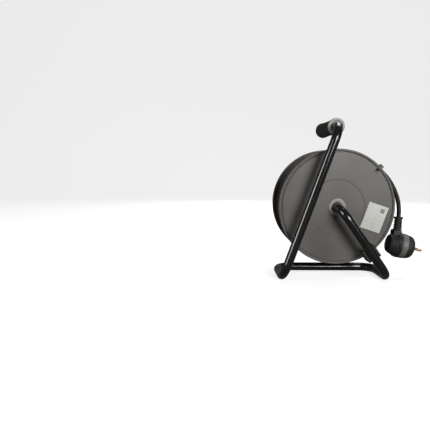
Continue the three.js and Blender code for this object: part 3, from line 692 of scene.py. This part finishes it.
# ------------------------------------------------------------------ sockets, lids and hinge pins
# Each socket is a deep cup of heat-proof plastic with two holes for the pins and earth springs at its
# sides. A sprung lid with a rounded rim shuts over it and turns on a steel pin.
socket_grey = skin("socket_plastic", (0.045, 0.045, 0.046), (0.065, 0.065, 0.067), 14, (0.36, 0.5), 0.4, 0.02)
lid_black = skin("lid_plastic", (0.018, 0.018, 0.019), (0.030, 0.030, 0.031), 16, (0.34, 0.5), 0.4, 0.025)
zinc_plate = skin("zinc_plate", (0.50, 0.50, 0.49), (0.64, 0.64, 0.62), 4, (0.24, 0.4), 0.15, 0.004,
                  metal=1.0)
cup_outline = [
    (0, 110.9), (20.5, 110.9), (21.5, 112), (21.5, 131), (21.1, 131.4), (20.2, 131.4), (19.6, 130.6),
    (19.6, 114.6), (18.9, 113.9), (0, 113.9),
]
lid_outline = [
    (0, 131.8), (22, 131.8), (22.6, 132.3), (22.6, 133.5), (22.1, 134.2), (21.2, 134.4), (18.4, 134.4),
    (17.9, 133.9), (16.9, 133.9), (16.4, 134.4), (0, 134.4),
]
pin_gap = 19.0

for number in range(1, 5):
    cup = put(spun(cup_outline, soft=0.2), Vector((socket_circle, 0, 0)) * MM)
    for side in (-0.5, 0.5):
        hole = put(drill(2.7, socket_circle), Vector((0, 0, side * pin_gap)) * MM)
        carved(cup, hole)
    put(to_socket(cup, number), axle)
    done(cup, f"socket_cup_{number}", socket_grey, "drum", f"socket_insert_{number}", slot="insert_plastic")

    lid = put(spun(lid_outline, soft=0.15), Vector((socket_circle, 0, 0)) * MM)
    arm = slab((51.1, 131.9, -6.7), (hinge_circle, 134.3, 6.7), 0.3)
    tab = slab((8.5, 131.9, -4), (12.9, 134.3, 4), 0.7)
    united(lid, arm, hinge_rod(2.4, 6.7), tab)
    carved(lid, hinge_rod(hinge_rod_radius + 0.35, 14))
    put(to_socket(lid, number), axle)
    done(lid, f"sprung_lid_{number}", lid_black, f"lid_{number}", f"socket_lid_{number}", slot="lid_plastic")

    pin = put(to_socket(hinge_rod(hinge_rod_radius, 10.3, soft=0.25), number), axle)
    done(pin, f"hinge_pin_{number}", zinc_plate, "drum", f"lid_pin_{number}", slot="zinc_steel")

# ------------------------------------------------------------------ panel screws
# Four zinc-plated pan-head screws with a cross recess hold the panel to the front flange.
screw_outline = [
    (0, 123.8), (1.4, 123.8), (1.9, 124.6), (1.9, 131.1), (3.2, 131.1), (3.2, 132), (2.4, 132.9),
    (1.2, 133.3), (0, 133.3),
]
for number in range(1, 5):
    screw = spun(screw_outline, steps=40, soft=0.1)
    carved(screw, slab((-1.9, 132.2, -0.4), (1.9, 134, 0.4), 0),
           slab((-0.4, 132.2, -1.9), (0.4, 134, 1.9), 0))
    put(screw, Vector((panel_screw_circle, 0, 0)) * MM)
    put(put(screw, (0, 0, 0), about_y(90 * (number - 1))), axle)
    done(screw, f"panel_screw_head_{number}", zinc_plate, "drum", f"panel_screw_{number}", slot="zinc_steel")

# ------------------------------------------------------------------ thermal cut-out
# A red reset button in a low black bezel, in the middle of the panel.
bezel_outline = [(4.8, 131.1), (8, 131.1), (7.7, 132), (7, 132.6), (5.3, 132.6), (4.8, 132.2), (4.8, 131.1)]
bezel = put(spun(bezel_outline, steps=64, soft=0.1), axle)
done(bezel, "reset_bezel", black_plastic, "drum", "cutout_bezel", slot="dark_plastic")
button_red = skin("button_red", (0.30, 0.010, 0.006), (0.40, 0.016, 0.010), 5, (0.26, 0.36), 0.3, 0.01)
button_outline = [
    (0, 118.8), (2.6, 118.8), (2.6, 129.3), (4.2, 129.3), (4.2, 135.8), (3.6, 136.5), (2.6, 136.6),
    (0, 136.2),
]
button = put(spun(button_outline, steps=64, soft=0.15), axle)
done(button, "reset_push_button", button_red, "button", "reset_button", slot="red_plastic")

# ------------------------------------------------------------------ winding knob
# A fluted black knob that spins on a shouldered bolt through the front flange, with a washer under it.
knob_outline = [
    (4.6, 129.5), (9.4, 129.5), (11.4, 130.6), (12, 132.6), (11.2, 136), (10.6, 140), (11, 144), (12.1, 149),
    (12.9, 153), (12.7, 156), (11.4, 158.4), (9, 159.5), (7, 159.5), (7, 154.5), (4.6, 154.5), (4.6, 129.5),
]
knob = spun(knob_outline, steps=72, soft=0.2)
flute(knob, 134, 155, 24, 0.5, 9.9)
put(knob, at(knob_circle, 0, 0))
done(knob, "spinning_knob", grip_black, "knob", "winding_knob", slot="grip_plastic")
bolt_outline = [
    (0, 120.2), (6, 120.2), (7, 120.9), (7, 123.2), (4, 123.2), (4, 154.8), (6.2, 154.8), (6.2, 156.2),
    (5.2, 157.1), (0, 157.1),
]
bolt = carved(spun(bolt_outline, steps=48, soft=0.15), slab((-5, 156, -0.6), (5, 159, 0.6), 0))
put(bolt, at(knob_circle, 0, 0))
done(bolt, "knob_shoulder_bolt", zinc_plate, "drum", "knob_bolt", slot="zinc_steel")
washer = spun([(4.3, 126.8), (9, 126.8), (9, 128.9), (4.3, 128.9), (4.3, 126.8)], steps=64, soft=0.2)
put(washer, at(knob_circle, 0, 0))
done(washer, "knob_flat_washer", zinc_plate, "drum", "knob_washer", slot="zinc_steel")

# ------------------------------------------------------------------ plug
# A rubber mains plug with the cable coming in from the side: a round-backed housing, a paler band behind
# the face, two round pins and an earth strip in a groove at top and bottom.
plug_foot = at(142.8, 24, -84.4)
plug_lean = Quaternion((0, 1, 0), math.radians(13))
to_pins = plug_lean @ Quaternion((0, 0, 1), -math.pi / 2)
entry_foot = plug_foot + plug_lean @ Vector((-15, 0, 31.5)) * MM
entry_lean = Quaternion((0, 1, 0), math.radians(3))
housing_outline = [
    (0, -28), (14.5, -28), (17.4, -27.5), (19.2, -26), (21.4, -21.6), (21.1, -20.8), (22.2, -19), (23.7, -16),
    (23.4, -15.2), (24.8, -13.4), (26.2, -10.6), (25.9, -9.8), (26.9, -7.6), (27, -6), (27, -4.5), (26.4, -4),
    (0, -4),
]
plug_rubber = skin("plug_rubber", (0.012, 0.012, 0.012), (0.026, 0.026, 0.026), 10, (0.45, 0.62), 0.6, 0.09)
housing = spun(housing_outline, soft=0.2)
put(housing, (0, 0, 0), Quaternion((0, 0, 1), -math.pi / 2))
for side in (-1, 1):
    for rib in (-14, -11, -8):
        low, high = sorted((side * 24.6, side * 31))
        carved(housing, slab((rib - 0.5, low, -12), (rib + 0.5, high, 12), 0.2))
put(housing, plug_foot, plug_lean)
united(housing, put(slab((-11, -11, -16), (7, 11, 0), 2.5), entry_foot, entry_lean))
done(housing, "plug_back_shell", plug_rubber, "frame", "plug_housing", slot="cable_rubber")


def earth_slots():
    """The grooves for the earth strips, above and below the pins."""
    return [slab((-2, -3.3, 18), (26, 3.3, 32), 0), slab((-2, -3.3, -32), (26, 3.3, -18), 0)]


band_grey = skin("plug_band_grey", (0.12, 0.119, 0.110), (0.17, 0.167, 0.155), 8, (0.42, 0.56), 0.5, 0.03)
band = spun([(0, -3.7), (26.1, -3.7), (26.5, -3.1), (26.3, 7.4), (25.7, 8), (0, 8)], soft=0.2)
put(band, (0, 0, 0), Quaternion((0, 0, 1), -math.pi / 2))
put(carved(band, *earth_slots()), plug_foot, plug_lean)
done(band, "plug_grey_band", band_grey, "frame", "plug_band", slot="plug_grey")
face_outline = [
    (0, 8.3), (25.1, 8.3), (25.5, 8.9), (25.2, 12), (24.5, 16), (23.3, 19.4), (21.5, 22), (19.8, 23.5),
    (18.4, 24), (0, 24),
]
plug_front = spun(face_outline, soft=0.2)
put(plug_front, (0, 0, 0), Quaternion((0, 0, 1), -math.pi / 2))
put(carved(plug_front, *earth_slots()), plug_foot, plug_lean)
done(plug_front, "plug_pin_face", plug_rubber, "frame", "plug_face", slot="cable_rubber")
pin_outline = [(0, 24.3), (2.4, 24.3), (2.4, 41), (2.1, 42.2), (1.3, 42.9), (0, 43)]
strip_brass = skin("strip_brass", (0.40, 0.26, 0.13), (0.50, 0.34, 0.18), 6, (0.30, 0.46), 0.2, 0.006,
                   metal=1.0)
plug_pins, earth_strips = [], []
for number, side in ((1, -1), (2, 1)):
    metal_pin = spun(pin_outline, steps=40, soft=0.1)
    put(metal_pin, plug_foot + plug_lean @ Vector((0, side * pin_gap / 2, 0)) * MM, to_pins)
    done(metal_pin, f"mains_pin_{number}", strip_brass, "frame", f"plug_pin_{number}", slot="brass")
    plug_pins.append(metal_pin)
    strip = eased_copy(f"plug_earth_strip_{number}", 0.2)
    done(strip, f"earth_side_strip_{number}", silver_plate, "frame", f"plug_earth_strip_{number}",
         slot="nickel_brass")
    earth_strips.append(strip)

# ------------------------------------------------------------------ strain relief
# A ribbed rubber sleeve moulded on the cable where it enters the plug, a little thinner towards the plug.
relief_length = 27.0
relief_outline = [(0, 0), (9.2, 0)]
for rib in range(5):
    foot_y = 2.2 + rib * 4.3
    wide = 9.1 - 0.15 * rib
    relief_outline += [(wide, foot_y), (wide - 1.5, foot_y + 0.5), (wide - 1.5, foot_y + 1.8),
                       (wide - 0.2, foot_y + 2.3)]
relief_outline += [(8.4, 23.4), (9.6, 24.2), (9.6, 26.4), (8.9, relief_length), (0, relief_length)]
relief = spun(relief_outline, steps=64, soft=0.15)
put(relief, entry_foot + entry_lean @ Vector((0, 0, 0.3)) * MM,
    entry_lean @ Quaternion((1, 0, 0), math.pi / 2))
done(relief, "ribbed_strain_relief", plug_rubber, "frame", "plug_strain_relief", slot="cable_rubber")

# ------------------------------------------------------------------ parts inside the drum
# The plain parts that only show when the drum is taken apart keep their shape and get their own finish:
# steel washers and rings, brass bus bars, the clamp on the cable and the body of the cut-out.
# The hub bush takes the collars' pale grey, which is a painted highlight.
inside_parts = {
    "axle_sleeve": black_plastic, "axle_washer": zinc_plate, "axle_retaining_ring": zinc_plate,
    "hub_bush": painted_highlight_grey, "cable_entry_bush": black_plastic, "line_busbar": strip_brass,
    "neutral_busbar": strip_brass, "cutout_housing": black_plastic, "cord_clamp_seat": drum_grey,
    "cord_clamp_strap": black_plastic, "clamp_screw_1": zinc_plate, "clamp_screw_2": zinc_plate,
}
for node, finish in inside_parts.items():
    frame["nodes"][node].data.materials.clear()
    frame["nodes"][node].data.materials.append(finish)
